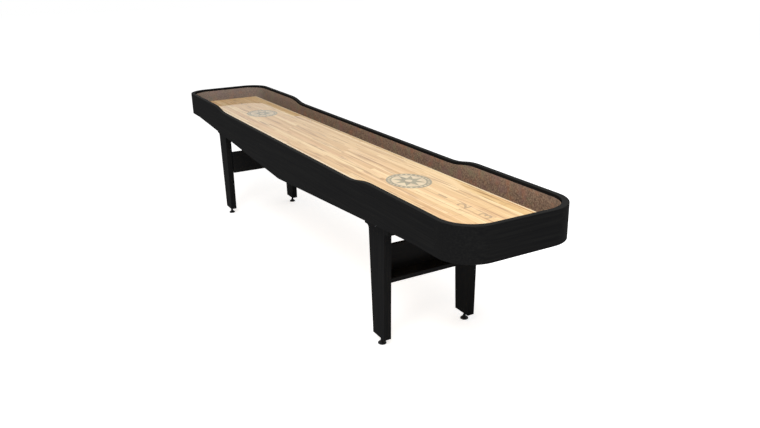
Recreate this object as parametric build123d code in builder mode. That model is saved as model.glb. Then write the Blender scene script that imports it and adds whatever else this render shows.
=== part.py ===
from build123d import *
import os
from math import cos, radians, sin

os.makedirs("parts", exist_ok=True)

# Overall cabinet. +X runs to the near end, -Y is the front side, the floor is z = 0.
table_length = 3724.0
table_width = 619.6
wall = 25.4
corner_radius = 155.7
inner_radius = 145.0
half_length = table_length / 2
half_width = table_width / 2
inner_half_width = half_width - wall
inner_half_length = half_length - wall
corner_reach = max(corner_radius, wall + inner_radius)
corner_x = half_length - corner_reach
corner_y = half_width - corner_reach
edge_round = 3.0

# Playfield board, the height it plays at and the gutter around it.
playfield_top = 749.0
playfield_thick = 38.1
playfield_edge_round = 2.5
side_gutter = 70.8
end_gutter = 121.6
gutter_board_thick = 12.0
gutter_drop = 46.8
carpet = 2.4
playfield_bottom = playfield_top - playfield_thick
gutter_top = playfield_top - gutter_drop
cradle_top = gutter_top - gutter_board_thick
playfield_length = 2 * (inner_half_length - end_gutter)
playfield_width = 2 * (inner_half_width - side_gutter)
board_overhang = 3.0
cradle_half_width = playfield_width / 2 - board_overhang
cradle_half_length = playfield_length / 2 - board_overhang
floor_split = min(corner_x, cradle_half_length)

# Rail: higher at both ends than in the middle, joined by an S of two arcs.
rail_above_playfield = 47.0
rail_step = 25.4
rail_top_middle = playfield_top + rail_above_playfield
rail_top_ends = rail_top_middle + rail_step
step_setback = 702.0
step_length = 236.0
step_end = half_length - step_setback
step_start = step_end - step_length
black_lip = 15.3

# Lower edge of the aprons: level at the ends, a shallow V between, its point a little nearer the near end.
apron_height_ends = 154.6
apron_deepening = 94.4
level_length = 311.0
point_offset = 50.0
apron_bottom = rail_top_ends - apron_height_ends
apron_bottom_middle = apron_bottom - apron_deepening
level_start = half_length - level_length

# Legs: flat boards tapered along X only, with a small cove under a wider head.
leg_setback = 715.4
leg_x = half_length - leg_setback
leg_inset = 44.9
leg_thick = 39.0
leg_outer_y = half_width - leg_inset
leg_inner_y = leg_outer_y - leg_thick
leg_y = (leg_outer_y + leg_inner_y) / 2
leg_bottom = 42.0
leg_half_foot = 55.5
leg_half_neck = 74.0
cove_radius = 18.0
leg_half_head = 110.0
head_height = 54.2
bearer_height = 40.0
leg_top = cradle_top - bearer_height
leg_neck_z = leg_top - head_height - cove_radius
leg_round = 2.0

# Cross bearers of the cradle.
end_bearer_width = 54.0
end_bearer_bottom = apron_bottom + 1.6
middle_bearer_width = 60.0
middle_bearer_spacing = leg_x / 2
bearing_rail_width = 35.0

# Cleats and leg blocks fill the space between the apron and the legs.
block_thick = leg_inset - wall
cleat_height = 22.0
cleat_end_gap = 2.0
cleat_half_length = corner_x - cleat_end_gap
cleat_bottom = cradle_top - cleat_height
block_height = 36.0
block_bottom = cleat_bottom - block_height
block_half_length = 100.0

# Stretcher at each end: an upright board with a flat board at its foot.
stretcher_inward = 75.8
stretcher_inner_x = leg_x - stretcher_inward
stretcher_board_thick = 20.2
stretcher_bottom = 322.6
stretcher_height = 155.4
stretcher_top = stretcher_bottom + stretcher_height
shelf_thick = 22.0
shelf_width = 85.0
board_outer_x = stretcher_inner_x + stretcher_board_thick
shelf_outer_x = board_outer_x + shelf_width
angle_steel = 2.5
angle_flange = 18.0
angle_width = 30.0
angle_gap = 5.0
angle_x = board_outer_x + angle_gap + angle_width / 2

# Leg bolts, two to a leg, through leg and block into the apron.
bolt_radius = 4.0
bolt_hole_clearance = 0.3
bolt_spacing = 110.0
bolt_drop = 11.2
bolt_z = leg_top - bolt_drop
bolt_reach_in_wall = 12.0
bolt_head_flats = 13.0
bolt_head_height = 5.3
washer_radius = 8.5
washer_thick = 1.6

# Levelers: a threaded insert in the leg, a stem with a hexagon and a swivel pad.
thread_radius = 5.0
thread_clearance = 0.05
insert_radius = 8.0
insert_length = 25.0
insert_flange_radius = 13.0
insert_flange_thick = 1.5
stem_top = 88.0
stem_hole_radius = 6.0
stem_hole_top = 115.0
hexagon_flats = 14.0
hexagon_bottom = 17.0
hexagon_top = 23.0
pad_radius = 21.0
pad_rim = 5.0
pad_neck_radius = 9.0
pad_top = 15.0
socket_radius = 4.06
socket_floor = 6.5
foot_radius = 4.0

# Climatic adjusters under the playfield: two brackets, one rod, four nuts each.
adjuster_inner_x = middle_bearer_spacing / 3
adjuster_outer_x = middle_bearer_spacing * 5 / 3
rod_end_gap = 13.2
bracket_from_rod_end = 27.0
rod_half_length = cradle_half_width - bearing_rail_width - rod_end_gap
adjuster_bracket_y = rod_half_length - bracket_from_rod_end
bracket_length = 50.0
bracket_base_width = 36.0
bracket_base_thick = 5.0
bracket_ear_thick = 6.0
bracket_ear_depth = 40.0
rod_radius = 6.0
rod_clearance = 0.3
rod_drop = 26.0
nut_flats = 18.0
nut_height = 10.0

ends = {"near": 1, "far": -1}
sides = {"front": -1, "back": 1}


def save(builder, name):
    builder.part.label = name
    export_step(builder.part, f"parts/{name}.step")


def across(first, last):
    return (first + last) / 2


# A plain sawn board between two x, two y and two z limits.
def board(name, x_span, y_span, z_span, rounded=0):
    with BuildPart() as piece:
        with BuildSketch(Plane.XY.offset(min(z_span))):
            with Locations((across(*x_span), across(*y_span))):
                Rectangle(abs(x_span[1] - x_span[0]), abs(y_span[1] - y_span[0]))
        extrude(amount=abs(z_span[1] - z_span[0]))
        if rounded:
            fillet(piece.edges(), radius=rounded)
    save(piece, name)


# The near half of the rail's top line, lowered by drop, from the middle to the corner.
def stepped_top(drop):
    low = rail_top_middle - drop
    high = rail_top_ends - drop
    bend = (across(step_start, step_end), across(low, high))
    Line((0, low), (step_start, low))
    TangentArc((step_start, low), bend, tangent=(1, 0))
    TangentArc((step_end, high), bend, tangent=(-1, 0))
    Line((step_end, high), (corner_x, high))


# Side aprons: stepped top, shallow V below, edges eased.
for side, way in sides.items():
    outer_y = way * half_width
    face_y = max(way * half_width, way * inner_half_width)
    with BuildPart() as apron:
        with BuildSketch(Plane.XZ.offset(-face_y)):
            with BuildLine():
                stepped_top(0)
                Polyline((corner_x, rail_top_ends), (corner_x, apron_bottom), (0, apron_bottom),
                         (0, rail_top_middle))
            make_face()
            mirror(about=Plane.YZ)
            with BuildLine():
                Polyline((-level_start, apron_bottom), (level_start, apron_bottom),
                         (point_offset, apron_bottom_middle), close=True)
            make_face()
        extrude(amount=wall)
        with Locations([Plane((end * leg_x + place * bolt_spacing / 2, way * inner_half_width, bolt_z),
                              x_dir=(1, 0, 0), z_dir=(0, -way, 0))
                        for end in ends.values() for place in (-1, 1)]):
            Hole(bolt_radius + bolt_hole_clearance, depth=bolt_reach_in_wall + 1)
        long_edges = apron.edges().filter_by_position(Axis.X, -corner_x + 1, corner_x - 1)
        top_edges = long_edges.filter_by_position(Axis.Z, rail_top_middle - 1, rail_top_ends + 1)
        fillet(top_edges, radius=edge_round)
    save(apron, f"side_apron_{side}")

# End aprons and the bent corners, all with the same eased top edges.
for end, along in ends.items():
    with BuildPart() as apron:
        with BuildSketch(Plane.XY.offset(apron_bottom)):
            with Locations((along * across(inner_half_length, half_length), 0)):
                Rectangle(wall, 2 * corner_y)
        extrude(amount=rail_top_ends - apron_bottom)
        fillet(apron.faces().sort_by(Axis.Z)[-1].edges().filter_by(Axis.Y), radius=edge_round)
    save(apron, f"end_apron_{end}")
    for side, way in sides.items():
        with BuildPart() as corner:
            with BuildSketch(Plane.XY.offset(apron_bottom)):
                RectangleRounded(table_length, table_width, corner_radius)
                RectangleRounded(2 * inner_half_length, 2 * inner_half_width, inner_radius,
                                 mode=Mode.SUBTRACT)
                with Locations((along * (half_length - corner_reach / 2), way * (half_width - corner_reach / 2))):
                    Rectangle(corner_reach, corner_reach, mode=Mode.INTERSECT)
            extrude(amount=rail_top_ends - apron_bottom)
            rim = corner.faces().sort_by(Axis.Z)[-1].edges()
            butt_ends = rim.filter_by(lambda edge: abs(edge.center().X) < corner_x + 0.01
                                      or abs(edge.center().Y) < corner_y + 0.01)
            fillet(rim - butt_ends, radius=edge_round)
        save(corner, f"corner_{end}_{side}")

# Carpet lining on the inner faces, from the gutter floor up to the black lip.
for side, way in sides.items():
    face_y = max(way * inner_half_width, way * (inner_half_width - carpet))
    with BuildPart() as lining:
        with BuildSketch(Plane.XZ.offset(-face_y)):
            with BuildLine():
                stepped_top(black_lip)
                Polyline((corner_x, rail_top_ends - black_lip), (corner_x, gutter_top),
                         (0, gutter_top), (0, rail_top_middle - black_lip))
            make_face()
            mirror(about=Plane.YZ)
        extrude(amount=carpet)
    save(lining, f"side_lining_{side}")
for end, along in ends.items():
    with BuildPart() as lining:
        with BuildSketch(Plane.XY.offset(gutter_top)):
            RectangleRounded(2 * inner_half_length, 2 * inner_half_width, inner_radius)
            RectangleRounded(2 * (inner_half_length - carpet), 2 * (inner_half_width - carpet),
                             inner_radius - carpet, mode=Mode.SUBTRACT)
            with Locations((along * (half_length - corner_reach / 2), 0)):
                Rectangle(corner_reach, table_width, mode=Mode.INTERSECT)
        extrude(amount=rail_top_ends - black_lip - gutter_top)
    save(lining, f"end_lining_{end}")

# Gutter floor boards and the carpet on them.
for side, way in sides.items():
    board(f"gutter_board_{side}", (-floor_split, floor_split),
          (way * cradle_half_width, way * inner_half_width), (cradle_top, gutter_top))
    board(f"gutter_carpet_{side}", (-floor_split, floor_split),
          (way * cradle_half_width, way * (inner_half_width - carpet)), (gutter_top, gutter_top + carpet))


# A board or carpet that fills the rounded end of the cabinet, around the end of the cradle.
def end_floor(name, along, reach, half_span, radius, bottom, thick):
    with BuildPart() as floor:
        with BuildSketch(Plane.XY.offset(bottom)):
            RectangleRounded(2 * reach, 2 * half_span, radius)
            with Locations((along * across(floor_split, half_length), 0)):
                Rectangle(half_length - floor_split, table_width, mode=Mode.INTERSECT)
            Rectangle(2 * cradle_half_length, 2 * cradle_half_width, mode=Mode.SUBTRACT)
        extrude(amount=thick)
    save(floor, name)


for end, along in ends.items():
    end_floor(f"gutter_board_{end}", along, inner_half_length, inner_half_width, inner_radius,
              cradle_top, gutter_board_thick)
    end_floor(f"gutter_carpet_{end}", along, inner_half_length - carpet, inner_half_width - carpet,
              inner_radius - carpet, gutter_top, carpet)

# Playfield board with eased edges.
with BuildPart() as playfield:
    with BuildSketch(Plane.XY.offset(playfield_bottom)):
        Rectangle(playfield_length, playfield_width)
    extrude(amount=playfield_thick)
    fillet(playfield.edges().filter_by(Axis.Z), radius=playfield_edge_round)
    fillet(playfield.faces().sort_by(Axis.Z)[-1].edges(), radius=playfield_edge_round)
save(playfield, "playfield")

# Cradle: two long bearing rails on cross bearers.
rail_half_length = cradle_half_length - end_bearer_width
for side, way in sides.items():
    board(f"bearing_rail_{side}", (-rail_half_length, rail_half_length),
          (way * (cradle_half_width - bearing_rail_width), way * cradle_half_width),
          (cradle_top, playfield_bottom))
for end, along in ends.items():
    board(f"leg_bearer_{end}", (along * leg_x - leg_half_neck, along * leg_x + leg_half_neck),
          (-leg_outer_y, leg_outer_y), (leg_top, cradle_top))
    with BuildPart() as end_bearer:
        with BuildSketch(Plane.XY.offset(end_bearer_bottom)):
            with Locations((along * (cradle_half_length - end_bearer_width / 2), 0)):
                Rectangle(end_bearer_width, 2 * leg_outer_y)
        extrude(amount=cradle_top - end_bearer_bottom)
        with BuildSketch(Plane.XY.offset(cradle_top)):
            with Locations((along * (cradle_half_length - end_bearer_width / 2), 0)):
                Rectangle(end_bearer_width, 2 * cradle_half_width)
        extrude(amount=playfield_bottom - cradle_top)
    save(end_bearer, f"end_bearer_{end}")
for place, name in zip((-1, 0, 1), ("far", "middle", "near")):
    middle_x = place * middle_bearer_spacing
    board(f"cross_bearer_{name}", (middle_x - middle_bearer_width / 2, middle_x + middle_bearer_width / 2),
          (-leg_outer_y, leg_outer_y), (leg_top, cradle_top))

# Cleats along the aprons under the gutter boards.
for side, way in sides.items():
    board(f"side_cleat_{side}", (-cleat_half_length, cleat_half_length),
          (way * leg_outer_y, way * inner_half_width), (cleat_bottom, cradle_top))

# Climatic adjusters: angle brackets screwed under the board, a rod through them, nuts on both sides.
adjuster_places = [way * x for x in (adjuster_inner_x, adjuster_outer_x) for way in (-1, 1)]
rod_z = playfield_bottom - rod_drop
with BuildPart() as adjuster_brackets:
    for x in adjuster_places:
        for way in sides.values():
            with Locations((x, way * adjuster_bracket_y, playfield_bottom)):
                Box(bracket_length, bracket_base_width, bracket_base_thick,
                    align=(Align.CENTER, Align.CENTER, Align.MAX))
            with Locations((x, way * (adjuster_bracket_y + bracket_base_width / 2), playfield_bottom)):
                Box(bracket_length, bracket_ear_thick, bracket_ear_depth,
                    align=(Align.CENTER, Align.MAX if way > 0 else Align.MIN, Align.MAX))
        with Locations(Plane((x, rod_half_length, rod_z), x_dir=(1, 0, 0), z_dir=(0, 1, 0))):
            Hole(rod_radius + rod_clearance, depth=2 * rod_half_length)
save(adjuster_brackets, "adjuster_brackets")
with BuildPart() as adjuster_rods:
    for x in adjuster_places:
        with BuildSketch(Plane((x, -rod_half_length, rod_z), x_dir=(1, 0, 0), z_dir=(0, 1, 0))):
            Circle(rod_radius)
        extrude(amount=2 * rod_half_length)
save(adjuster_rods, "adjuster_rods")
ear_outer_y = adjuster_bracket_y + bracket_base_width / 2
ear_inner_y = ear_outer_y - bracket_ear_thick
with BuildPart() as adjuster_nuts:
    for x in adjuster_places:
        for start in (ear_outer_y, ear_inner_y - nut_height, -ear_outer_y - nut_height, -ear_inner_y):
            with BuildSketch(Plane((x, start, rod_z), x_dir=(1, 0, 0), z_dir=(0, 1, 0))):
                RegularPolygon(nut_flats / 2, 6, major_radius=False)
                Circle(rod_radius, mode=Mode.SUBTRACT)
            extrude(amount=nut_height)
save(adjuster_nuts, "adjuster_nuts")


# One half of a leg's outline: tapered side, cove, head.
def leg_outline():
    cove_z = leg_neck_z + cove_radius
    cove_x = leg_half_neck + cove_radius
    middle = (cove_x - cove_radius * cos(radians(45)), leg_neck_z + cove_radius * sin(radians(45)))
    Polyline((0, leg_bottom), (leg_half_foot, leg_bottom), (leg_half_neck, leg_neck_z))
    ThreePointArc((leg_half_neck, leg_neck_z), middle, (cove_x, cove_z))
    Polyline((cove_x, cove_z), (leg_half_head, cove_z), (leg_half_head, leg_top), (0, leg_top),
             (0, leg_bottom))


# Legs with blocks against the aprons.
leg_places = [(end, side, along, way) for end, along in ends.items() for side, way in sides.items()]
for end, side, along, way in leg_places:
    outer_y = max(way * leg_outer_y, way * leg_inner_y)
    with BuildPart() as leg:
        with BuildSketch(Plane.XZ.offset(-outer_y)):
            with BuildLine():
                leg_outline()
            make_face()
            mirror(about=Plane.YZ)
        extrude(amount=leg_thick)
        fillet(leg.edges().filter_by(Axis.Y, reverse=True).filter_by_position(
            Axis.Z, leg_bottom + 1, leg_neck_z), radius=leg_round)
        with Locations(Plane((0, way * leg_y, leg_bottom), x_dir=(1, 0, 0), z_dir=(0, 0, -1))):
            Hole(insert_radius, depth=insert_length)
            Hole(stem_hole_radius, depth=stem_hole_top - leg_bottom)
        with Locations([Plane((place * bolt_spacing / 2, way * leg_inner_y, bolt_z),
                              x_dir=(1, 0, 0), z_dir=(0, -way, 0)) for place in (-1, 1)]):
            Hole(bolt_radius + bolt_hole_clearance, depth=leg_thick)
    leg.part.locate(Location((along * leg_x, 0, 0)))
    save(leg, f"leg_{end}_{side}")
    with BuildPart() as block:
        with BuildSketch(Plane.XY.offset(block_bottom)):
            with Locations((along * leg_x, way * across(leg_outer_y, inner_half_width))):
                Rectangle(2 * block_half_length, block_thick)
        extrude(amount=cleat_bottom - block_bottom)
        with Locations([Plane((along * leg_x + place * bolt_spacing / 2, way * leg_outer_y, bolt_z),
                              x_dir=(1, 0, 0), z_dir=(0, -way, 0)) for place in (-1, 1)]):
            Hole(bolt_radius + bolt_hole_clearance, depth=block_thick)
    save(block, f"leg_block_{end}_{side}")

# Leg bolts and washers.
with BuildPart() as leg_bolts:
    for end, side, along, way in leg_places:
        for place in (-1, 1):
            bolt_x = along * leg_x + place * bolt_spacing / 2
            washer_y = way * leg_inner_y
            with BuildSketch(Plane((bolt_x, washer_y, bolt_z), x_dir=(1, 0, 0), z_dir=(0, -way, 0))):
                Circle(washer_radius)
            extrude(amount=washer_thick)
            with BuildSketch(Plane((bolt_x, washer_y - way * washer_thick, bolt_z),
                                   x_dir=(1, 0, 0), z_dir=(0, -way, 0))):
                RegularPolygon(bolt_head_flats / 2, 6, major_radius=False)
            extrude(amount=bolt_head_height)
            with BuildSketch(Plane((bolt_x, washer_y, bolt_z), x_dir=(1, 0, 0), z_dir=(0, way, 0))):
                Circle(bolt_radius)
            extrude(amount=leg_thick + block_thick + bolt_reach_in_wall)
save(leg_bolts, "leg_bolts")

# Stretchers between the two legs of each end, with steel angles underneath.
for end, along in ends.items():
    board(f"stretcher_board_{end}", (along * stretcher_inner_x, along * board_outer_x),
          (-leg_inner_y, leg_inner_y), (stretcher_bottom, stretcher_top), 1.5)
    board(f"stretcher_shelf_{end}", (along * board_outer_x, along * shelf_outer_x),
          (-leg_inner_y, leg_inner_y), (stretcher_bottom, stretcher_bottom + shelf_thick), 1.5)
with BuildPart() as stretcher_angles:
    for end, side, along, way in leg_places:
        with Locations((along * angle_x, way * leg_inner_y, stretcher_bottom)):
            Box(angle_width, angle_flange, angle_steel,
                align=(Align.CENTER, Align.MAX if way > 0 else Align.MIN, Align.MAX))
            Box(angle_width, angle_steel, angle_flange,
                align=(Align.CENTER, Align.MAX if way > 0 else Align.MIN, Align.MAX))
save(stretcher_angles, "stretcher_angles")

# Levelers.
with BuildPart() as inserts:
    for end, side, along, way in leg_places:
        with BuildSketch(Plane.XY.offset(leg_bottom - insert_flange_thick)):
            with Locations((along * leg_x, way * leg_y)):
                Circle(insert_flange_radius)
                Circle(thread_radius + thread_clearance, mode=Mode.SUBTRACT)
        extrude(amount=insert_flange_thick)
        with BuildSketch(Plane.XY.offset(leg_bottom)):
            with Locations((along * leg_x, way * leg_y)):
                Circle(insert_radius)
                Circle(thread_radius + thread_clearance, mode=Mode.SUBTRACT)
        extrude(amount=insert_length)
save(inserts, "leveler_inserts")
for end, side, along, way in leg_places:
    with BuildPart() as pad:
        with BuildSketch(Plane.XZ):
            with BuildLine():
                Polyline((0, 0), (pad_radius, 0), (pad_radius, pad_rim), (pad_neck_radius, pad_top),
                         (socket_radius, pad_top), (socket_radius, socket_floor), (0, socket_floor), (0, 0))
            make_face()
        revolve(axis=Axis.Z)
        fillet(pad.edges().filter_by(GeomType.CIRCLE).filter_by_position(Axis.Z, pad_rim - 0.1, pad_rim + 0.1),
               radius=1.5)
    pad.part.locate(Location((along * leg_x, way * leg_y, 0)))
    save(pad, f"leveler_pad_{end}_{side}")
    with BuildPart() as stem:
        with BuildSketch(Plane.XY.offset(socket_floor)):
            with Locations((along * leg_x, way * leg_y)):
                Circle(foot_radius)
        extrude(amount=hexagon_bottom - socket_floor)
        with BuildSketch(Plane.XY.offset(hexagon_bottom)):
            with Locations((along * leg_x, way * leg_y)):
                RegularPolygon(hexagon_flats / 2, 6, major_radius=False)
        extrude(amount=hexagon_top - hexagon_bottom)
        with BuildSketch(Plane.XY.offset(hexagon_top)):
            with Locations((along * leg_x, way * leg_y)):
                Circle(thread_radius)
        extrude(amount=stem_top - hexagon_top)
        chamfer(stem.faces().sort_by(Axis.Z)[-1].edges(), length=0.8)
    save(stem, f"leveler_stem_{end}_{side}")
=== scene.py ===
import bpy, math
from mathutils import Matrix, Vector


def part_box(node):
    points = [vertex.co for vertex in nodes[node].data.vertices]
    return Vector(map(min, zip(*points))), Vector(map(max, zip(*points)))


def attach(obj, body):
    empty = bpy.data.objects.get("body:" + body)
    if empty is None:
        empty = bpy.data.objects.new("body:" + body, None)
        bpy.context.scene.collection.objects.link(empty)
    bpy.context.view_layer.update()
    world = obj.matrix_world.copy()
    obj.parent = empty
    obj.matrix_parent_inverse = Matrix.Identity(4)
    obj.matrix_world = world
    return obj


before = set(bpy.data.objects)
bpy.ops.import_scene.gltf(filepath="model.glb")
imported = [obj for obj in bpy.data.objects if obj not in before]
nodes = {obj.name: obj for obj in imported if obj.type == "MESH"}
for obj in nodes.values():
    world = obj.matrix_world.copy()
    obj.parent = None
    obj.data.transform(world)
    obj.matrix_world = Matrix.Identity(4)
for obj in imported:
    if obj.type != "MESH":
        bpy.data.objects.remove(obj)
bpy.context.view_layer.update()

scene = bpy.context.scene
print("frame loaded:", len(nodes), "CAD nodes")


def hexColour(text):  # sRGB hex to linear
    values = [int(text[i:i + 2], 16) / 255 for i in (1, 3, 5)]
    linear = [v / 12.92 if v <= 0.04045 else ((v + 0.055) / 1.055) ** 2.4 for v in values]
    return (*linear, 1.0)


# Adds one node with its settings and links, and gives one of its outputs, or the node itself.
# Ramp stops are (place, hex). A pair of names takes a pair of values, for the two ends of a range.
# A Mix node has its share at 0, its numbers at 2 and 3, and its colours at 6 and 7.
def add(tree, kind, inputs=None, out=0, stops=None, **settings):
    node = tree.nodes.new(kind)
    for name, value in settings.items():
        setattr(node, name, value)
    if stops:
        elements = node.color_ramp.elements
        while len(elements) < len(stops):
            elements.new(1.0)
        for element, (place, colour) in zip(elements, stops):
            element.position = place
            element.color = hexColour(colour)
    for name, value in (inputs or {}).items():
        pairs = zip(name, value) if isinstance(name, tuple) else ((name, value),)
        for socket, given in pairs:
            if isinstance(given, bpy.types.NodeSocket):
                tree.links.new(given, node.inputs[socket])
            else:
                node.inputs[socket].default_value = given
    return node if out is None else node.outputs[out]


fromEnds = ("From Min", "From Max")
toEnds = ("To Min", "To Max")
inColour = {"out": 2, "data_type": "RGBA"}  # for a Mix node of colours, with the output they come from


# A new material: its tree, its shader and the object coordinates, ready for a pattern.
def newMaterial(name, **shaderValues):
    material = bpy.data.materials.new(name)
    material.use_nodes = True
    tree = material.node_tree
    shader = tree.nodes["Principled BSDF"]
    for key, value in shaderValues.items():
        shader.inputs[key].default_value = value
    return material, tree, shader, add(tree, "ShaderNodeTexCoord", out="Object")


# The noise scale that gives spots of a size in millimetres.
def noiseScale(mm):
    return 500 / mm


# The same for long spots, from their width and their length along one axis.
def longNoiseScale(sizesMm, axis):
    scale = [noiseScale(sizesMm[0])] * 3
    scale[axis] = noiseScale(sizesMm[1])
    return scale


# Satin black lacquer sprayed on plywood: nearly flat black with faint grain and orange peel.
# Painted highlight: the rail tops are painted greyer, as if lit from above; their coat is also shinier.
# A pair in millimetres is a width and a length along the grain. Other pairs are the two ends of a range.
# The stretcher colour is painted light: a lighter black, to offset the shade it stands in under the table.
lacquer = {"base": "#121213", "grain": "#1D1D1C", "railTopHighlight": "#1B1B1A", "stretcher": "#171718",
           "grainMm": (3.0, 166.67), "grainSeen": (0.4, 0.72), "grainShare": 0.8, "grainDeep": 0.00012,
           "cloudMm": 166.67, "cloudSeen": (0.3, 0.7), "peelMm": 2.2, "peelDeep": 0.00006,
           "railHeight": (0.775, 0.785), "facingUp": (0.35, 0.9), "railTopHighlightShare": (0.75, 1.0),
           "roughness": (0.5, 0.66), "coat": (0.04, 0.09), "coatRough": 0.26}


def blackLacquer(name, grainAxis, base=lacquer["base"]):
    material, tree, shader, where = newMaterial(
        name, **{"Specular IOR Level": 0.0, "Coat Roughness": lacquer["coatRough"], "Coat IOR": 1.5})
    along = add(tree, "ShaderNodeMapping", {"Vector": where,
                                            "Scale": longNoiseScale(lacquer["grainMm"], grainAxis)})
    grain = add(tree, "ShaderNodeTexNoise", {"Vector": along, "Scale": 1.0, "Detail": 4.0, "Roughness": 0.6})
    cloud = add(tree, "ShaderNodeTexNoise", {"Vector": where, "Scale": noiseScale(lacquer["cloudMm"]),
                                             "Detail": 2.0})
    tone = add(tree, "ShaderNodeMapRange", {"Value": grain, fromEnds: lacquer["grainSeen"],
                                            "To Max": lacquer["grainShare"]})
    upright = add(tree, "ShaderNodeMix", {0: tone, 6: hexColour(base), 7: hexColour(lacquer["grain"])},
                  **inColour)
    facing = add(tree, "ShaderNodeNewGeometry", out="Normal")
    lift = add(tree, "ShaderNodeSeparateXYZ", {0: facing}, out="Z")
    height = add(tree, "ShaderNodeSeparateXYZ", {0: where}, out="Z")
    # Painted highlight on the rail tops: up-facing faces at rail height get a greyer black.
    isTop = add(tree, "ShaderNodeMapRange", {"Value": lift, fromEnds: lacquer["facingUp"]})
    isRail = add(tree, "ShaderNodeMapRange", {"Value": height, fromEnds: lacquer["railHeight"]})
    railTopHighlight = add(tree, "ShaderNodeMath", {0: isTop, 1: isRail}, operation="MULTIPLY")
    railTopHighlightPart = add(tree, "ShaderNodeMapRange", {"Value": cloud, fromEnds: lacquer["cloudSeen"],
                                                  toEnds: lacquer["railTopHighlightShare"]})
    railTopHighlightTone = add(tree, "ShaderNodeMath", {0: railTopHighlight, 1: railTopHighlightPart}, operation="MULTIPLY")
    colour = add(tree, "ShaderNodeMix", {0: railTopHighlightTone, 6: upright, 7: hexColour(lacquer["railTopHighlight"])},
                 **inColour)
    tree.links.new(colour, shader.inputs["Base Color"])
    coat = add(tree, "ShaderNodeMapRange", {"Value": railTopHighlight, toEnds: lacquer["coat"]})
    tree.links.new(coat, shader.inputs["Coat Weight"])
    dull = add(tree, "ShaderNodeMapRange", {"Value": cloud, fromEnds: lacquer["cloudSeen"],
                                            toEnds: lacquer["roughness"]})
    tree.links.new(dull, shader.inputs["Roughness"])
    peel = add(tree, "ShaderNodeTexNoise", {"Vector": where, "Scale": noiseScale(lacquer["peelMm"]),
                                            "Detail": 2.0})
    bumps = add(tree, "ShaderNodeBump", {"Height": peel, "Distance": lacquer["peelDeep"], "Strength": 0.35})
    bumps = add(tree, "ShaderNodeBump", {"Height": grain, "Distance": lacquer["grainDeep"],
                                         "Strength": 0.3, "Normal": bumps})
    tree.links.new(bumps, shader.inputs["Normal"])
    return material


# Short needle-felt carpet of mixed brown, rust, grey-green and plum fibre: matte and mottled, and fuzzy at
# grazing angles. The fibres are drawn coarser than real ones, so that they show.
# Painted light makes the carpet paler and greyer near the top of the walls a little, and at the far end most.
felt = {"dark": "#55463D", "mid": "#7D6655", "light": "#A28A72", "fuzz": "#BDA893", "dustAndPaintedLight": "#A09894",
        "flecks": ("#A36C50", "#7C7C60", "#826461"), "mottleMm": 34.0, "fleckSeen": (0.52, 0.64),
        "fleckShare": 0.45, "tuftMm": 4.0, "tuftDeep": 0.0012, "fibreMm": 1.2, "fibreDeep": 0.0007,
        "fibreShare": 0.25, "topPaintedLightHeight": (0.75, 0.81), "topPaintedLight": 0.12, "farPaintedLightReach": (-0.8, -1.85),
        "farPaintedLight": 0.3}


def feltCarpet(name):
    material, tree, shader, where = newMaterial(
        name, **{"Roughness": 0.95, "Specular IOR Level": 0.1, "Sheen Weight": 0.15, "Sheen Roughness": 0.6,
                 "Sheen Tint": hexColour(felt["fuzz"])})
    tuft = add(tree, "ShaderNodeTexNoise", {"Vector": where, "Scale": noiseScale(felt["tuftMm"]),
                                            "Detail": 4.0, "Roughness": 0.7})
    fibre = add(tree, "ShaderNodeTexNoise", {"Vector": where, "Scale": noiseScale(felt["fibreMm"]),
                                             "Detail": 3.0, "Roughness": 0.7})
    mixed = add(tree, "ShaderNodeMix", {0: felt["fibreShare"], 2: tuft, 3: fibre}, data_type="FLOAT")
    colour = add(tree, "ShaderNodeValToRGB", {"Fac": mixed},
                 stops=((0.38, felt["dark"]), (0.5, felt["mid"]), (0.62, felt["light"])))
    for index, fleck in enumerate(felt["flecks"]):
        apart = (3.7 * index, 1.3 * index, 0.9 * index)  # far enough for unlike patterns
        moved = add(tree, "ShaderNodeMapping", {"Vector": where, "Location": apart})
        patch = add(tree, "ShaderNodeTexNoise", {"Vector": moved, "Scale": noiseScale(felt["mottleMm"]),
                                                 "Detail": 3.0, "Roughness": 0.65})
        share = add(tree, "ShaderNodeMapRange", {"Value": patch, fromEnds: felt["fleckSeen"],
                                                 "To Max": felt["fleckShare"]})
        colour = add(tree, "ShaderNodeMix", {0: share, 6: colour, 7: hexColour(fleck)}, **inColour)
    # Painted light: a paler grey towards the top of the walls and towards the far end.
    axes = add(tree, "ShaderNodeSeparateXYZ", {0: where}, out=None)
    high = add(tree, "ShaderNodeMapRange", {"Value": axes.outputs["Z"], fromEnds: felt["topPaintedLightHeight"],
                                            "To Max": felt["topPaintedLight"]})
    farEnd = add(tree, "ShaderNodeMapRange", {"Value": axes.outputs["X"], fromEnds: felt["farPaintedLightReach"],
                                              "To Max": felt["farPaintedLight"]})
    dustAndPaintedLight = add(tree, "ShaderNodeMath", {0: high, 1: farEnd}, operation="ADD")
    colour = add(tree, "ShaderNodeMix", {0: dustAndPaintedLight, 6: colour, 7: hexColour(felt["dustAndPaintedLight"])}, **inColour)
    tree.links.new(colour, shader.inputs["Base Color"])
    bumps = add(tree, "ShaderNodeBump", {"Height": tuft, "Distance": felt["tuftDeep"], "Strength": 0.7})
    bumps = add(tree, "ShaderNodeBump", {"Height": fibre, "Distance": felt["fibreDeep"], "Strength": 0.8,
                                         "Normal": bumps})
    tree.links.new(bumps, shader.inputs["Normal"])
    return material
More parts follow.
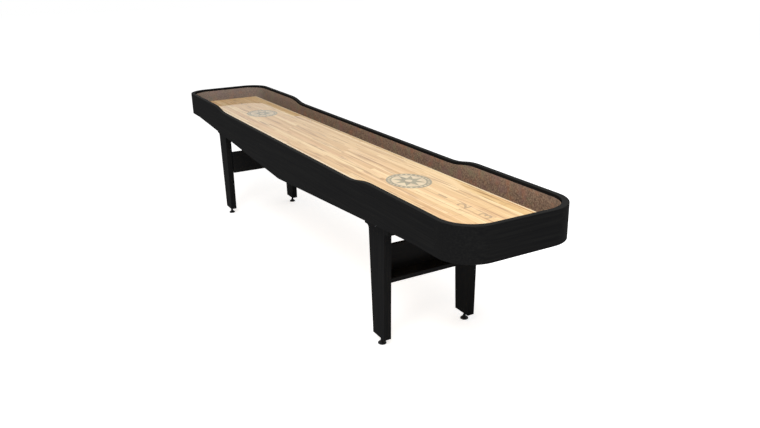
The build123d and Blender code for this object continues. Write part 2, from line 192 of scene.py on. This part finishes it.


# Hard maple butcher block under poured polymer: glued strips of uneven tone with brown mineral streaks,
# seen through a wet, nearly flat clear coat. The pores are drawn coarser than real ones, so that they show.
# A pair in millimetres is a width and a length along the board. The two draws shuffle where each strip's
# staves start and which hue each stave has.
# The edge colour is a painted highlight along the board's two long edges.
maple = {"light": "#F0D09A", "mid": "#E0BA82", "deep": "#C2935A", "streak": "#8E6038", "rosy": "#E3B283",
         "glue": "#A97C4C", "edge": "#FFF1D2", "strips": 19, "staveMm": 760.0, "startDraw": 7.0,
         "ringMm": (10.87, 208.33), "ringShare": 0.62,
         "hueDraw": 57.0, "rosySeen": (0.55, 1.0), "rosyShare": 0.4,
         "streakMm": (10.0, 210.0), "streakSeen": (0.53, 0.7), "streakShare": 0.85,
         "poreMm": (1.6, 35.71), "poreSeen": (0.5, 0.8), "poreShare": 0.35, "poreDeep": 0.0001,
         "stripJoint": (0.482, 0.497), "staveJoint": (0.4975, 0.4992), "jointShare": 0.34,
         "edgeHighlightInset": (0.013, 0.009), "edgeHighlightShare": 0.5, "roughness": 0.42, "specular": 0.1,
         "coat": 0.5, "coatRough": 0.04, "rippleMm": 83.33, "rippleDeep": 0.0005}
playLow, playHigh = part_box("playfield")
stripWidth = (playHigh.y - playLow.y) / maple["strips"]


# The wood's colour, and its fine pores for the bump.
def mapleWood(tree, where):
    axes = add(tree, "ShaderNodeSeparateXYZ", {0: where}, out=None)
    across = add(tree, "ShaderNodeMath", {0: axes.outputs["Y"], 1: 1 / stripWidth, 2: maple["strips"] / 2},
                 operation="MULTIPLY_ADD")
    strip = add(tree, "ShaderNodeMath", {0: across}, operation="FLOOR")
    shift = add(tree, "ShaderNodeTexWhiteNoise", {"W": strip}, noise_dimensions="1D")
    start = add(tree, "ShaderNodeMath", {0: shift, 1: maple["startDraw"]}, operation="MULTIPLY")
    along = add(tree, "ShaderNodeMath", {0: axes.outputs["X"], 1: 1000 / maple["staveMm"], 2: start},
                operation="MULTIPLY_ADD")
    stave = add(tree, "ShaderNodeMath", {0: along}, operation="FLOOR")
    key = add(tree, "ShaderNodeCombineXYZ", {0: strip, 1: stave})
    chance = add(tree, "ShaderNodeTexWhiteNoise", {"Vector": key}, out=None, noise_dimensions="3D")
    own = add(tree, "ShaderNodeVectorMath", {0: where, 1: chance.outputs["Color"]}, operation="ADD")

    longGrain = add(tree, "ShaderNodeMapping", {"Vector": own, "Scale": longNoiseScale(maple["ringMm"], 0)})
    ringTone = add(tree, "ShaderNodeTexNoise", {"Vector": longGrain, "Scale": 1.0, "Detail": 4.0,
                                                "Roughness": 0.6, "Distortion": 0.6})
    value = add(tree, "ShaderNodeMix", {0: maple["ringShare"], 2: chance.outputs["Value"], 3: ringTone},
                data_type="FLOAT")
    wood = add(tree, "ShaderNodeValToRGB", {"Fac": value},
               stops=((0.3, maple["light"]), (0.5, maple["mid"]), (0.78, maple["deep"])))
    draw = add(tree, "ShaderNodeMath", {0: chance.outputs["Value"], 1: maple["hueDraw"]},
               operation="MULTIPLY")
    hue = add(tree, "ShaderNodeTexWhiteNoise", {"W": draw}, noise_dimensions="1D")
    rosy = add(tree, "ShaderNodeMapRange", {"Value": hue, fromEnds: maple["rosySeen"],
                                            "To Max": maple["rosyShare"]})
    wood = add(tree, "ShaderNodeMix", {0: rosy, 6: wood, 7: hexColour(maple["rosy"])}, **inColour)

    elsewhere = (5.0, 2.0, 1.0)  # far enough for a pattern unlike the rings
    thrown = add(tree, "ShaderNodeMapping", {"Vector": own, "Location": elsewhere,
                                             "Scale": longNoiseScale(maple["streakMm"], 0)})
    figure = add(tree, "ShaderNodeTexNoise", {"Vector": thrown, "Scale": 1.0, "Detail": 3.0,
                                              "Roughness": 0.62, "Distortion": 0.8})
    streaks = add(tree, "ShaderNodeMapRange", {"Value": figure, fromEnds: maple["streakSeen"],
                                               "To Max": maple["streakShare"]})
    wood = add(tree, "ShaderNodeMix", {0: streaks, 6: wood, 7: hexColour(maple["streak"])}, **inColour)

    fine = add(tree, "ShaderNodeMapping", {"Vector": own, "Scale": longNoiseScale(maple["poreMm"], 0)})
    pores = add(tree, "ShaderNodeTexNoise", {"Vector": fine, "Scale": 1.0, "Detail": 4.0,
                                             "Roughness": 0.65})
    lines = add(tree, "ShaderNodeMapRange", {"Value": pores, fromEnds: maple["poreSeen"],
                                             "To Max": maple["poreShare"]})
    wood = add(tree, "ShaderNodeMix", {0: lines, 6: wood, 7: hexColour(maple["deep"])}, **inColour)

    joints = []
    for counted, ends in ((across, maple["stripJoint"]), (along, maple["staveJoint"])):
        part = add(tree, "ShaderNodeMath", {0: counted}, operation="FRACT")
        fromMiddle = add(tree, "ShaderNodeMath", {0: part, 1: 0.5}, operation="SUBTRACT")
        edge = add(tree, "ShaderNodeMath", {0: fromMiddle}, operation="ABSOLUTE")
        joints.append(add(tree, "ShaderNodeMapRange", {"Value": edge, fromEnds: ends,
                                                       "To Max": maple["jointShare"]}))
    joint = add(tree, "ShaderNodeMath", {0: joints[0], 1: joints[1]}, operation="MAXIMUM")
    wood = add(tree, "ShaderNodeMix", {0: joint, 6: wood, 7: hexColour(maple["glue"])}, **inColour)

    # A painted highlight makes the board paler along its two long edges, where the rounded edge catches the
    # light.
    fromMiddle = add(tree, "ShaderNodeMath", {0: axes.outputs["Y"]}, operation="ABSOLUTE")
    edgeHighlightEnds = tuple(playHigh.y - inset for inset in maple["edgeHighlightInset"])
    edgeHighlight = add(tree, "ShaderNodeMapRange", {"Value": fromMiddle, fromEnds: edgeHighlightEnds,
                                             "To Max": maple["edgeHighlightShare"]})
    wood = add(tree, "ShaderNodeMix", {0: edgeHighlight, 6: wood, 7: hexColour(maple["edge"])}, **inColour)
    return wood, pores


# A material under the poured coat, with the wood's pores as its bump.
def underCoat(name):
    material, tree, shader, where = newMaterial(
        name, **{"Roughness": maple["roughness"], "Specular IOR Level": maple["specular"],
                 "Coat Weight": maple["coat"], "Coat Roughness": maple["coatRough"], "Coat IOR": 1.5})
    wood, pores = mapleWood(tree, where)
    bumps = add(tree, "ShaderNodeBump", {"Height": pores, "Distance": maple["poreDeep"], "Strength": 0.3})
    tree.links.new(bumps, shader.inputs["Normal"])
    return material, tree, shader, where, wood


# The board itself: its coat has a slight, slow ripple.
def mapleBoard(name):
    material, tree, shader, where, wood = underCoat(name)
    tree.links.new(wood, shader.inputs["Base Color"])
    wave = add(tree, "ShaderNodeTexNoise", {"Vector": where, "Scale": noiseScale(maple["rippleMm"]),
                                            "Detail": 2.0})
    ripple = add(tree, "ShaderNodeBump", {"Height": wave, "Distance": maple["rippleDeep"], "Strength": 0.2})
    tree.links.new(ripple, shader.inputs["Coat Normal"])
    return material


# Screen-printed ink under the same clear coat: thin and a little speckled, so that the wood shows through.
# Each ink is a colour and how much it covers.
inks = {"dark": ("#6D7565", 0.76), "pale": ("#C9C2AA", 0.55), "brown": ("#7C634C", 0.55),
        "speckleMm": 1.923, "speckleSeen": (0.3, 0.7), "uneven": 0.1}


def printedInk(name, colourAndCover):
    ink, cover = colourAndCover
    material, tree, shader, where, wood = underCoat(name)
    speckle = add(tree, "ShaderNodeTexNoise", {"Vector": where, "Scale": noiseScale(inks["speckleMm"]),
                                               "Detail": 3.0})
    thin = add(tree, "ShaderNodeMapRange", {"Value": speckle, fromEnds: inks["speckleSeen"],
                                            toEnds: (cover - inks["uneven"], cover + inks["uneven"])})
    inked = add(tree, "ShaderNodeMix", {0: thin, 6: wood, 7: hexColour(ink)}, **inColour)
    tree.links.new(inked, shader.inputs["Base Color"])
    return material


# Raw sawn softwood and plywood in the cradle: dry and unfinished, with open grain.
# A pair in millimetres is a width and a length along the grain.
timber = {"ply": ("#D8B98A", "#B98F5C"), "pine": ("#D9BE8F", "#B58A57"), "ringMm": (12.0, 250.0),
          "poreMm": (1.5, 20.0), "poreSeen": (0.5, 0.8), "poreShare": 0.4, "poreDeep": 0.0002}


def rawTimber(name, tones, grainAxis):
    light, dark = tones
    material, tree, shader, where = newMaterial(name, **{"Roughness": 0.8, "Specular IOR Level": 0.25})
    found = []
    for size in (timber["ringMm"], timber["poreMm"]):
        run = add(tree, "ShaderNodeMapping", {"Vector": where, "Scale": longNoiseScale(size, grainAxis)})
        found.append(add(tree, "ShaderNodeTexNoise", {"Vector": run, "Scale": 1.0, "Detail": 4.0,
                                                      "Roughness": 0.6, "Distortion": 0.6}))
    rings, pores = found
    ground = add(tree, "ShaderNodeValToRGB", {"Fac": rings}, stops=((0.3, light), (0.7, dark)))
    lines = add(tree, "ShaderNodeMapRange", {"Value": pores, fromEnds: timber["poreSeen"],
                                             "To Max": timber["poreShare"]})
    colour = add(tree, "ShaderNodeMix", {0: lines, 6: ground, 7: hexColour(dark)}, **inColour)
    tree.links.new(colour, shader.inputs["Base Color"])
    bumps = add(tree, "ShaderNodeBump", {"Height": pores, "Distance": timber["poreDeep"], "Strength": 0.5})
    tree.links.new(bumps, shader.inputs["Normal"])
    return material


# Zinc plate on steel, bright or passivated black: a cool, slightly cloudy metal with a fine grit.
# The grit is drawn coarser than the real one.
zinc = {"bright": ("#8E9092", "#BFC1C0"), "black": ("#111112", "#1E1E1F"), "cloudMm": 3.125,
        "cloudSeen": (0.3, 0.7), "roughness": (0.28, 0.45), "gritMm": 0.5556, "gritDeep": 0.00005}


def zincPlate(name, tones):
    cloudy, bright = tones
    material, tree, shader, where = newMaterial(name, **{"Metallic": 1.0})
    cloud = add(tree, "ShaderNodeTexNoise", {"Vector": where, "Scale": noiseScale(zinc["cloudMm"]),
                                             "Detail": 3.0})
    colour = add(tree, "ShaderNodeValToRGB", {"Fac": cloud}, stops=((0.35, cloudy), (0.7, bright)))
    tree.links.new(colour, shader.inputs["Base Color"])
    dull = add(tree, "ShaderNodeMapRange", {"Value": cloud, fromEnds: zinc["cloudSeen"],
                                            toEnds: zinc["roughness"]})
    tree.links.new(dull, shader.inputs["Roughness"])
    grit = add(tree, "ShaderNodeTexNoise", {"Vector": where, "Scale": noiseScale(zinc["gritMm"]),
                                            "Detail": 2.0})
    bumps = add(tree, "ShaderNodeBump", {"Height": grit, "Distance": zinc["gritDeep"], "Strength": 0.4})
    tree.links.new(bumps, shader.inputs["Normal"])
    return material


# Black powder coat on steel: a fine leathery grit, drawn coarser than the real one.
powder = {"low": "#0F0F10", "high": "#262627", "gritMm": 0.7143, "gritDeep": 0.0002}


def powderCoat(name):
    material, tree, shader, where = newMaterial(name, **{"Roughness": 0.55, "Specular IOR Level": 0.3})
    grit = add(tree, "ShaderNodeTexNoise", {"Vector": where, "Scale": noiseScale(powder["gritMm"]),
                                            "Detail": 3.0, "Roughness": 0.7})
    colour = add(tree, "ShaderNodeValToRGB", {"Fac": grit},
                 stops=((0.3, powder["low"]), (0.8, powder["high"])))
    tree.links.new(colour, shader.inputs["Base Color"])
    bumps = add(tree, "ShaderNodeBump", {"Height": grit, "Distance": powder["gritDeep"], "Strength": 0.6})
    tree.links.new(bumps, shader.inputs["Normal"])
    return material


# Moulded black nylon foot: faintly grained, with pale dust near the floor.
# The grain is drawn coarser than the real one.
nylon = {"base": "#101011", "dustAndPaintedLight": "#4A4743", "dustHeight": (0.0, 0.006), "dustShare": (0.5, 0.0),
         "speckMm": 1.25, "gritMm": 0.3333, "gritDeep": 0.00008}


def mouldedNylon(name):
    material, tree, shader, where = newMaterial(name, **{"Roughness": 0.5, "Specular IOR Level": 0.25})
    height = add(tree, "ShaderNodeSeparateXYZ", {0: where}, out="Z")
    low = add(tree, "ShaderNodeMapRange", {"Value": height, fromEnds: nylon["dustHeight"],
                                           toEnds: nylon["dustShare"]})
    specks = add(tree, "ShaderNodeTexNoise", {"Vector": where, "Scale": noiseScale(nylon["speckMm"]),
                                              "Detail": 3.0})
    dustAndPaintedLight = add(tree, "ShaderNodeMath", {0: low, 1: specks}, operation="MULTIPLY")
    colour = add(tree, "ShaderNodeMix", {0: dustAndPaintedLight, 6: hexColour(nylon["base"]),
                                         7: hexColour(nylon["dustAndPaintedLight"])}, **inColour)
    tree.links.new(colour, shader.inputs["Base Color"])
    grit = add(tree, "ShaderNodeTexNoise", {"Vector": where, "Scale": noiseScale(nylon["gritMm"]),
                                            "Detail": 2.0})
    bumps = add(tree, "ShaderNodeBump", {"Height": grit, "Distance": nylon["gritDeep"], "Strength": 0.4})
    tree.links.new(bumps, shader.inputs["Normal"])
    return material


# The numbers are the axes that the grain follows: 0 along the table, 1 across it, 2 upright.
materials = {
    "cabinetSide": blackLacquer("satin_black_lacquer", 0),
    "cabinetEnd": blackLacquer("satin_black_lacquer_end", 1),
    "leg": blackLacquer("satin_black_lacquer_leg", 2),
    # The stretcher gets the lighter black, painted against its shade under the table.
    "stretcher": blackLacquer("satin_black_lacquer_stretcher", 1, lacquer["stretcher"]),
    "carpet": feltCarpet("needle_felt_carpet"),
    "maple": mapleBoard("poured_maple_butcher_block"),
    "plyLong": rawTimber("raw_plywood_long", timber["ply"], 0),
    "plyCross": rawTimber("raw_plywood_cross", timber["ply"], 1),
    "pineLong": rawTimber("raw_pine_long", timber["pine"], 0),
    "pineCross": rawTimber("raw_pine_cross", timber["pine"], 1),
    "zinc": zincPlate("zinc_plated_steel", zinc["bright"]),
    "powder": powderCoat("powder_coated_steel"),
    "nylon": mouldedNylon("moulded_black_nylon"),
    "inkDark": printedInk("grey_green_ink", inks["dark"]),
    "inkPale": printedInk("pale_ink", inks["pale"]),
    "inkBrown": printedInk("brown_ink", inks["brown"]),
    "blackZinc": zincPlate("black_zinc_plate", zinc["black"]),
}
print("materials made:", len(materials))

# Which finish each CAD node gets: the first matching start of its name counts.
finishes = (
    ("side_apron", "cabinetSide"), ("end_apron", "cabinetEnd"), ("corner", "cabinetEnd"),
    ("side_lining", "carpet"), ("end_lining", "carpet"), ("gutter_carpet", "carpet"),
    ("gutter_board_front", "plyLong"), ("gutter_board_back", "plyLong"), ("gutter_board", "plyCross"),
    ("playfield", "maple"), ("bearing_rail", "pineLong"), ("side_cleat", "pineLong"),
    ("cross_bearer", "pineCross"), ("end_bearer", "pineCross"), ("leg_bearer", "pineCross"),
    ("leg_block", "cabinetSide"), ("leg_bolts", "zinc"), ("leg_", "leg"), ("stretcher_angles", "powder"),
    ("stretcher", "stretcher"), ("adjuster_brackets", "powder"), ("adjuster", "zinc"),
    ("leveler_pad", "nylon"), ("leveler_stem", "blackZinc"), ("leveler", "zinc"),
)
for name, node in nodes.items():
    finish = next(key for start, key in finishes if name.startswith(start))
    node.data.materials.clear()
    node.data.materials.append(materials[finish])
print("CAD nodes finished")


# Puts a finished mesh in the scene at the origin and on its body.
def place(name, mesh, body, slotName):
    piece = bpy.data.objects.new(name, mesh)
    scene.collection.objects.link(piece)
    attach(piece, body)


# An object's final shape as a plain mesh. The object itself goes.
def plainMesh(holder):
    bpy.context.view_layer.update()
    mesh = bpy.data.meshes.new_from_object(holder.evaluated_get(bpy.context.evaluated_depsgraph_get()))
    bpy.data.objects.remove(holder)
    return mesh


# Runs a Geometry Nodes tree on a mesh of points with the sizes given, and keeps the result as a plain mesh.
def grow(name, tree, points, sizes):
    source = bpy.data.meshes.new(name + "_points")
    source.from_pydata(points, [], [])
    holder = bpy.data.objects.new(name + "_points", source)
    scene.collection.objects.link(holder)
    modifier = holder.modifiers.new("grow", "NODES")
    modifier.node_group = tree
    for item in tree.interface.items_tree:
        if item.item_type == "SOCKET" and item.in_out == "INPUT" and item.name in sizes:
            modifier[item.identifier] = sizes[item.name]
    holder.data.update()
    mesh = plainMesh(holder)
    mesh.name = name
    return mesh


# An empty Geometry Nodes tree with named size inputs.
def newTree(name, sizes):
    tree = bpy.data.node_groups.new(name, "GeometryNodeTree")
    tree.interface.new_socket("Geometry", in_out="INPUT", socket_type="NodeSocketGeometry")
    for label, kind in sizes:
        tree.interface.new_socket(label, in_out="INPUT", socket_type=kind)
    tree.interface.new_socket("Geometry", in_out="OUTPUT", socket_type="NodeSocketGeometry")
    return tree, add(tree, "NodeGroupInput", out=None)


# Ends a tree: instances made real, material set.
def closeTree(tree, geometry, material):
    real = add(tree, "GeometryNodeRealizeInstances", {"Geometry": geometry})
    done = add(tree, "GeometryNodeSetMaterial", {"Geometry": real, "Material": material})
    add(tree, "NodeGroupOutput", {"Geometry": done}, out=None)


# Two oval badges: pale dots on a dark rim, and a dark star on a pale field. Shares are of the full oval.
badge = {"centreX": 1.004, "halfLength": 0.130, "halfWidth": 0.105, "thick": 0.00012, "rim": 0.76,
         "ovalSides": 96, "dots": 26, "dotRadius": 0.0058, "dotRing": 0.88, "dotSides": 14, "starPoints": 8,
         "starOut": 0.72, "starIn": 0.34, "hub": 0.16, "hubSides": 32}


# A thin flat plate standing on height z, or a ring where a hole of as many points is given.
def flatShape(outline, hole, z):
    verts, faces = [], []
    for level in (z, z + badge["thick"]):
        verts += [(x, y, level) for x, y in outline]
        verts += [(x, y, level) for x, y in hole]
    n = len(outline)
    high = n + len(hole)
    for i in range(n):
        j = (i + 1) % n
        faces.append((i, j, high + j, high + i))
        if hole:
            faces.append((n + j, n + i, high + n + i, high + n + j))
            faces.append((high + i, high + j, high + n + j, high + n + i))
            faces.append((j, i, n + i, n + j))
    if not hole:
        faces += [tuple(range(high, high + n)), tuple(reversed(range(n)))]
    return verts, faces


# A point of the badge's oval, at a share of its full size.
def ovalPoint(centreX, share, turn):
    x = centreX + badge["halfLength"] * share * math.cos(turn)
    return x, badge["halfWidth"] * share * math.sin(turn)


def ovalLine(centreX, share, sides=badge["ovalSides"]):
    return [ovalPoint(centreX, share, 2 * math.pi * i / sides) for i in range(sides)]


# One mesh from several flat shapes.
def flatMesh(name, shapes, material):
    verts, faces = [], []
    for moreVerts, moreFaces in shapes:
        base = len(verts)
        verts += moreVerts
        faces += [tuple(i + base for i in face) for face in moreFaces]
    mesh = bpy.data.meshes.new(name)
    mesh.from_pydata(verts, [], faces)
    mesh.materials.append(material)
    return mesh


# The dots on the badge's rim: an oval path cut into even steps, a thin disc on each.
dotTree, given = newTree("ovalOfDots", (("Half Length", "NodeSocketFloat"), ("Half Width", "NodeSocketFloat"),
                                        ("Dot Radius", "NodeSocketFloat"), ("Dot Count", "NodeSocketInt"),
                                        ("Thickness", "NodeSocketFloat"), ("Centre", "NodeSocketVector")))
circle = add(dotTree, "GeometryNodeCurvePrimitiveCircle", {"Resolution": 180, "Radius": 1.0})
size = add(dotTree, "ShaderNodeCombineXYZ", {0: given.outputs["Half Length"],
                                             1: given.outputs["Half Width"], 2: 1.0})
oval = add(dotTree, "GeometryNodeTransform", {"Geometry": circle, "Translation": given.outputs["Centre"],
                                              "Scale": size})
steps = add(dotTree, "GeometryNodeResampleCurve", {"Curve": oval, "Count": given.outputs["Dot Count"]})
dotPlaces = add(dotTree, "GeometryNodeCurveToPoints", {"Curve": steps}, mode="EVALUATED")
disc = add(dotTree, "GeometryNodeMeshCylinder", {"Vertices": badge["dotSides"],
                                                 "Radius": given.outputs["Dot Radius"],
                                                 "Depth": given.outputs["Thickness"]})
discs = add(dotTree, "GeometryNodeInstanceOnPoints", {"Points": dotPlaces, "Instance": disc})
closeTree(dotTree, discs, materials["inkPale"])

top = playHigh.z
ends = ((1, "near"), (-1, "far"))
for side, end in ends:
    cx = side * badge["centreX"]
    ring = flatShape(ovalLine(cx, 1.0), ovalLine(cx, badge["rim"]), top)
    field = flatShape(ovalLine(cx, badge["rim"]), [], top)
    hub = flatShape(ovalLine(cx, badge["hub"], badge["hubSides"]), [], top + 2 * badge["thick"])
    points = []
    for i in range(2 * badge["starPoints"]):
        share = badge["starIn"] if i % 2 else badge["starOut"]
        points.append(ovalPoint(cx, share, math.pi * i / badge["starPoints"]))
    star = flatShape(points, [], top + badge["thick"])
    for part, shapes, ink in (("rim", (ring,), "inkDark"), ("field", (field, hub), "inkPale"),
                              ("star", (star,), "inkDark")):
        name = f"badge_{part}_{end}"
        place(name, flatMesh(name, shapes, materials[ink]), "cabinet", "maple_gloss")
    dots = grow(f"badge_dots_{end}", dotTree, [(0, 0, 0)], {
        "Half Length": badge["halfLength"] * badge["dotRing"],
        "Half Width": badge["halfWidth"] * badge["dotRing"],
        "Dot Radius": badge["dotRadius"], "Dot Count": badge["dots"], "Thickness": badge["thick"],
        "Centre": (cx, 0, top + 1.5 * badge["thick"])})
    place(f"badge_dots_{end}", dots, "cabinet", "maple_gloss")
print("badges made")

# Score numerals printed across the board, read from the board's own end.
numerals = {"places": {"1": 1.294, "2": 1.456, "3": 1.612}, "height": 0.066, "sideways": 0.004,
            "bolder": 0.0014, "figureShare": 0.7}  # a figure is about 0.7 of the type size
for side, end in ends:
    for text, far in numerals["places"].items():
        curve = bpy.data.curves.new("numeral", "FONT")
        curve.body = text
        curve.size = numerals["height"] / numerals["figureShare"]
        curve.align_x = "CENTER"
        curve.align_y = "CENTER"
        curve.extrude = badge["thick"] / 2
        curve.offset = numerals["bolder"]
        holder = bpy.data.objects.new("numeral", curve)
        scene.collection.objects.link(holder)
        mesh = plainMesh(holder)
        lift = Matrix.Translation((side * far, numerals["sideways"], top + badge["thick"] / 2))
        mesh.transform(lift @ Matrix.Rotation(math.radians(90 * side), 4, "Z"))
        mesh.materials.clear()
        mesh.materials.append(materials["inkBrown"])
        mesh.name = f"numeral_{text}_{end}"
        place(f"numeral_{text}_{end}", mesh, "cabinet", "maple_gloss")

# Score lines across the board, between the numerals.
scoreLines = {"places": (1.375, 1.537), "width": 0.0016, "inset": 0.003}
reach = playHigh.y - scoreLines["inset"]
for side, end in ends:
    stripes = []
    for x in scoreLines["places"]:
        low, high = (side * x + step * scoreLines["width"] / 2 for step in (-1, 1))
        stripes.append(flatShape([(low, -reach), (high, -reach), (high, reach), (low, reach)], [], top))
    place(f"score_lines_{end}", flatMesh(f"score_lines_{end}", stripes, materials["inkBrown"]),
          "cabinet", "maple_gloss")
print("numerals and score lines made")

# Pan-head wood screws under the adjuster brackets and the stretcher angles, heads down.
screw = {"radius": 0.0042, "rise": 0.0024, "sides": 24, "crownShare": 0.62, "crossLength": 0.0046,
         "crossWidth": 0.0011, "crossDepth": 0.0026, "bracketApart": 0.034, "bracketInset": 0.013,
         "bracketThick": 0.005, "angleApart": 0.016, "angleThick": 0.0025}
screwTree, given = newTree("panHeadScrews", (("Head Radius", "NodeSocketFloat"),
                                             ("Head Height", "NodeSocketFloat"),
                                             ("Cross Size", "NodeSocketVector"),
                                             ("Cross Turn", "NodeSocketVector")))
crown = add(screwTree, "ShaderNodeMath", {0: given.outputs["Head Radius"], 1: screw["crownShare"]},
            operation="MULTIPLY")
head = add(screwTree, "GeometryNodeMeshCone", {"Vertices": screw["sides"], "Side Segments": 2,
                                               "Radius Top": crown,
                                               "Radius Bottom": given.outputs["Head Radius"],
                                               "Depth": given.outputs["Head Height"]})
slot = add(screwTree, "GeometryNodeMeshCube", {"Size": given.outputs["Cross Size"]})
atCrown = add(screwTree, "ShaderNodeCombineXYZ", {2: given.outputs["Head Height"]})
slotOne = add(screwTree, "GeometryNodeTransform", {"Geometry": slot, "Translation": atCrown})
slotTwo = add(screwTree, "GeometryNodeTransform", {"Geometry": slotOne,
                                                   "Rotation": given.outputs["Cross Turn"]})
cutOne = add(screwTree, "GeometryNodeMeshBoolean", {"Mesh 1": head, "Mesh 2": slotOne},
             operation="DIFFERENCE")
cutTwo = add(screwTree, "GeometryNodeMeshBoolean", {"Mesh 1": cutOne, "Mesh 2": slotTwo},
             operation="DIFFERENCE")
down = add(screwTree, "GeometryNodeTransform", {"Geometry": cutTwo, "Rotation": (math.pi, 0, 0)})
heads = add(screwTree, "GeometryNodeInstanceOnPoints", {"Points": given.outputs["Geometry"],
                                                        "Instance": down})
closeTree(screwTree, heads, materials["zinc"])


# The islands of a CAD node that holds several pieces: the lowest and highest corner of each.
def islands(name):
    mesh = nodes[name].data
    spots = [tuple(round(c, 5) for c in v.co) for v in mesh.vertices]  # corners at one spot are joined
    group = {spot: spot for spot in spots}

    def root(spot):
        while group[spot] != spot:
            group[spot] = group[group[spot]]
            spot = group[spot]
        return spot

    for polygon in mesh.polygons:
        corners = [spots[i] for i in polygon.vertices]
        for corner in corners[1:]:
            group[root(corner)] = root(corners[0])
    found = {}
    for spot in group:
        found.setdefault(root(spot), []).append(spot)
    parts = sorted(found.values(), key=min)
    return [[Vector([pick(s[i] for s in part) for i in range(3)]) for pick in (min, max)] for part in parts]


screwPoints = []
for low, high in islands("adjuster_brackets"):
    outward = 1 if low.y > 0 else -1
    inner = low.y if outward > 0 else high.y
    y = inner + outward * screw["bracketInset"]
    for step in (-1, 1):
        x = (low.x + high.x + step * screw["bracketApart"]) / 2
        screwPoints.append((x, y, high.z - screw["bracketThick"]))
for low, high in islands("stretcher_angles"):
    middle = (low + high) / 2
    for step in (-1, 1):
        x = middle.x + step * screw["angleApart"] / 2
        screwPoints.append((x, middle.y, high.z - screw["angleThick"]))
screws = grow("bracket_screws", screwTree, screwPoints, {
    "Head Radius": screw["radius"], "Head Height": screw["rise"],
    "Cross Size": (screw["crossLength"], screw["crossWidth"], screw["crossDepth"]),
    "Cross Turn": (0.0, 0.0, math.pi / 2)})
place("bracket_screws", screws, "cabinet", "zinc_steel")
print("screws made:", len(screwPoints))

# A floor and a sky that are white to the eye and in reflections, and two softboxes over the table.
# The table is lit by the softboxes, a dimmer sky and what the floor throws back.
studio = {"floorSize": 60.0, "floorTone": 0.9, "floorGlow": 0.67, "skyLight": 0.39, "skySeen": 1.0,
          "boxSize": (4.0, 2.4), "key": ((3.2, -1.5, 4.0), (0.3, 0, 0.7), 218.0),
          "fill": ((-1.0, -1.6, 3.8), (-1.2, 0, 0.7), 12.0)}


# Gives 1 where the eye, a reflection or a clear piece sees something, and 0 where it only gives light.
def isSeen(tree):
    ray = add(tree, "ShaderNodeLightPath", out=None)
    seen = add(tree, "ShaderNodeMath", {0: ray.outputs["Is Camera Ray"], 1: ray.outputs["Is Glossy Ray"]},
               operation="MAXIMUM")
    return add(tree, "ShaderNodeMath", {0: seen, 1: ray.outputs["Is Transmission Ray"]},
               operation="MAXIMUM")


half = studio["floorSize"] / 2
floorMesh = bpy.data.meshes.new("floor")
floorMesh.from_pydata([(-half, -half, 0), (half, -half, 0), (half, half, 0), (-half, half, 0)], [],
                      [(0, 1, 2, 3)])
floor = bpy.data.objects.new("floor", floorMesh)
scene.collection.objects.link(floor)
floorMaterial, tree, shader, _ = newMaterial("white_floor", **{"Roughness": 0.9, "Specular IOR Level": 0.0})
shader.inputs["Base Color"].default_value = (*[studio["floorTone"]] * 3, 1)
strength = add(tree, "ShaderNodeMath", {0: isSeen(tree), 1: studio["floorGlow"]}, operation="MULTIPLY")
glow = add(tree, "ShaderNodeEmission", {"Color": (1, 1, 1, 1), "Strength": strength})
both = add(tree, "ShaderNodeAddShader", {0: shader.outputs[0], 1: glow})
tree.links.new(both, tree.nodes["Material Output"].inputs["Surface"])
floorMesh.materials.append(floorMaterial)

world = bpy.data.worlds.new("studio")
scene.world = world
world.use_nodes = True
tree = world.node_tree
back = tree.nodes["Background"]
back.inputs["Color"].default_value = (1, 1, 1, 1)
strength = add(tree, "ShaderNodeMapRange", {"Value": isSeen(tree),
                                            toEnds: (studio["skyLight"], studio["skySeen"])})
tree.links.new(strength, back.inputs["Strength"])

for name in ("key", "fill"):
    spot, target, power = studio[name]
    lamp = bpy.data.lights.new(name, "AREA")
    lamp.shape = "RECTANGLE"
    lamp.size, lamp.size_y = studio["boxSize"]
    lamp.energy = power
    holder = bpy.data.objects.new(name, lamp)
    holder.location = spot
    holder.rotation_euler = (Vector(target) - Vector(spot)).to_track_quat("-Z", "Y").to_euler()
    holder.visible_glossy = False  # the coat on the board would show the softbox as a hard-edged patch
    scene.collection.objects.link(holder)

# The camera: its place in metres, its turns in degrees, its lens and sensor in millimetres.
view = {"place": (3.80693, -1.72099, 1.74028), "yaw": 29.0585, "pitch": 19.4342, "roll": -1.1981,
        "lens": 33.445, "sensor": 36.0}
yaw, pitch, roll = (math.radians(view[k]) for k in ("yaw", "pitch", "roll"))
ahead = Vector((-math.cos(yaw) * math.cos(pitch), math.sin(yaw) * math.cos(pitch), -math.sin(pitch)))
level = ahead.cross(Vector((0, 0, 1))).normalized()
upright = level.cross(ahead)
right = level * math.cos(roll) + upright * math.sin(roll)
up = upright * math.cos(roll) - level * math.sin(roll)
lens = bpy.data.cameras.new("camera")
lens.lens = view["lens"]
lens.sensor_width = view["sensor"]
camera = bpy.data.objects.new("camera", lens)
turned = Matrix((right, up, -ahead)).transposed().to_4x4()
camera.matrix_world = Matrix.Translation(view["place"]) @ turned
scene.collection.objects.link(camera)
scene.camera = camera

scene.view_settings.view_transform = "Standard"
print("floor, light and camera ready")
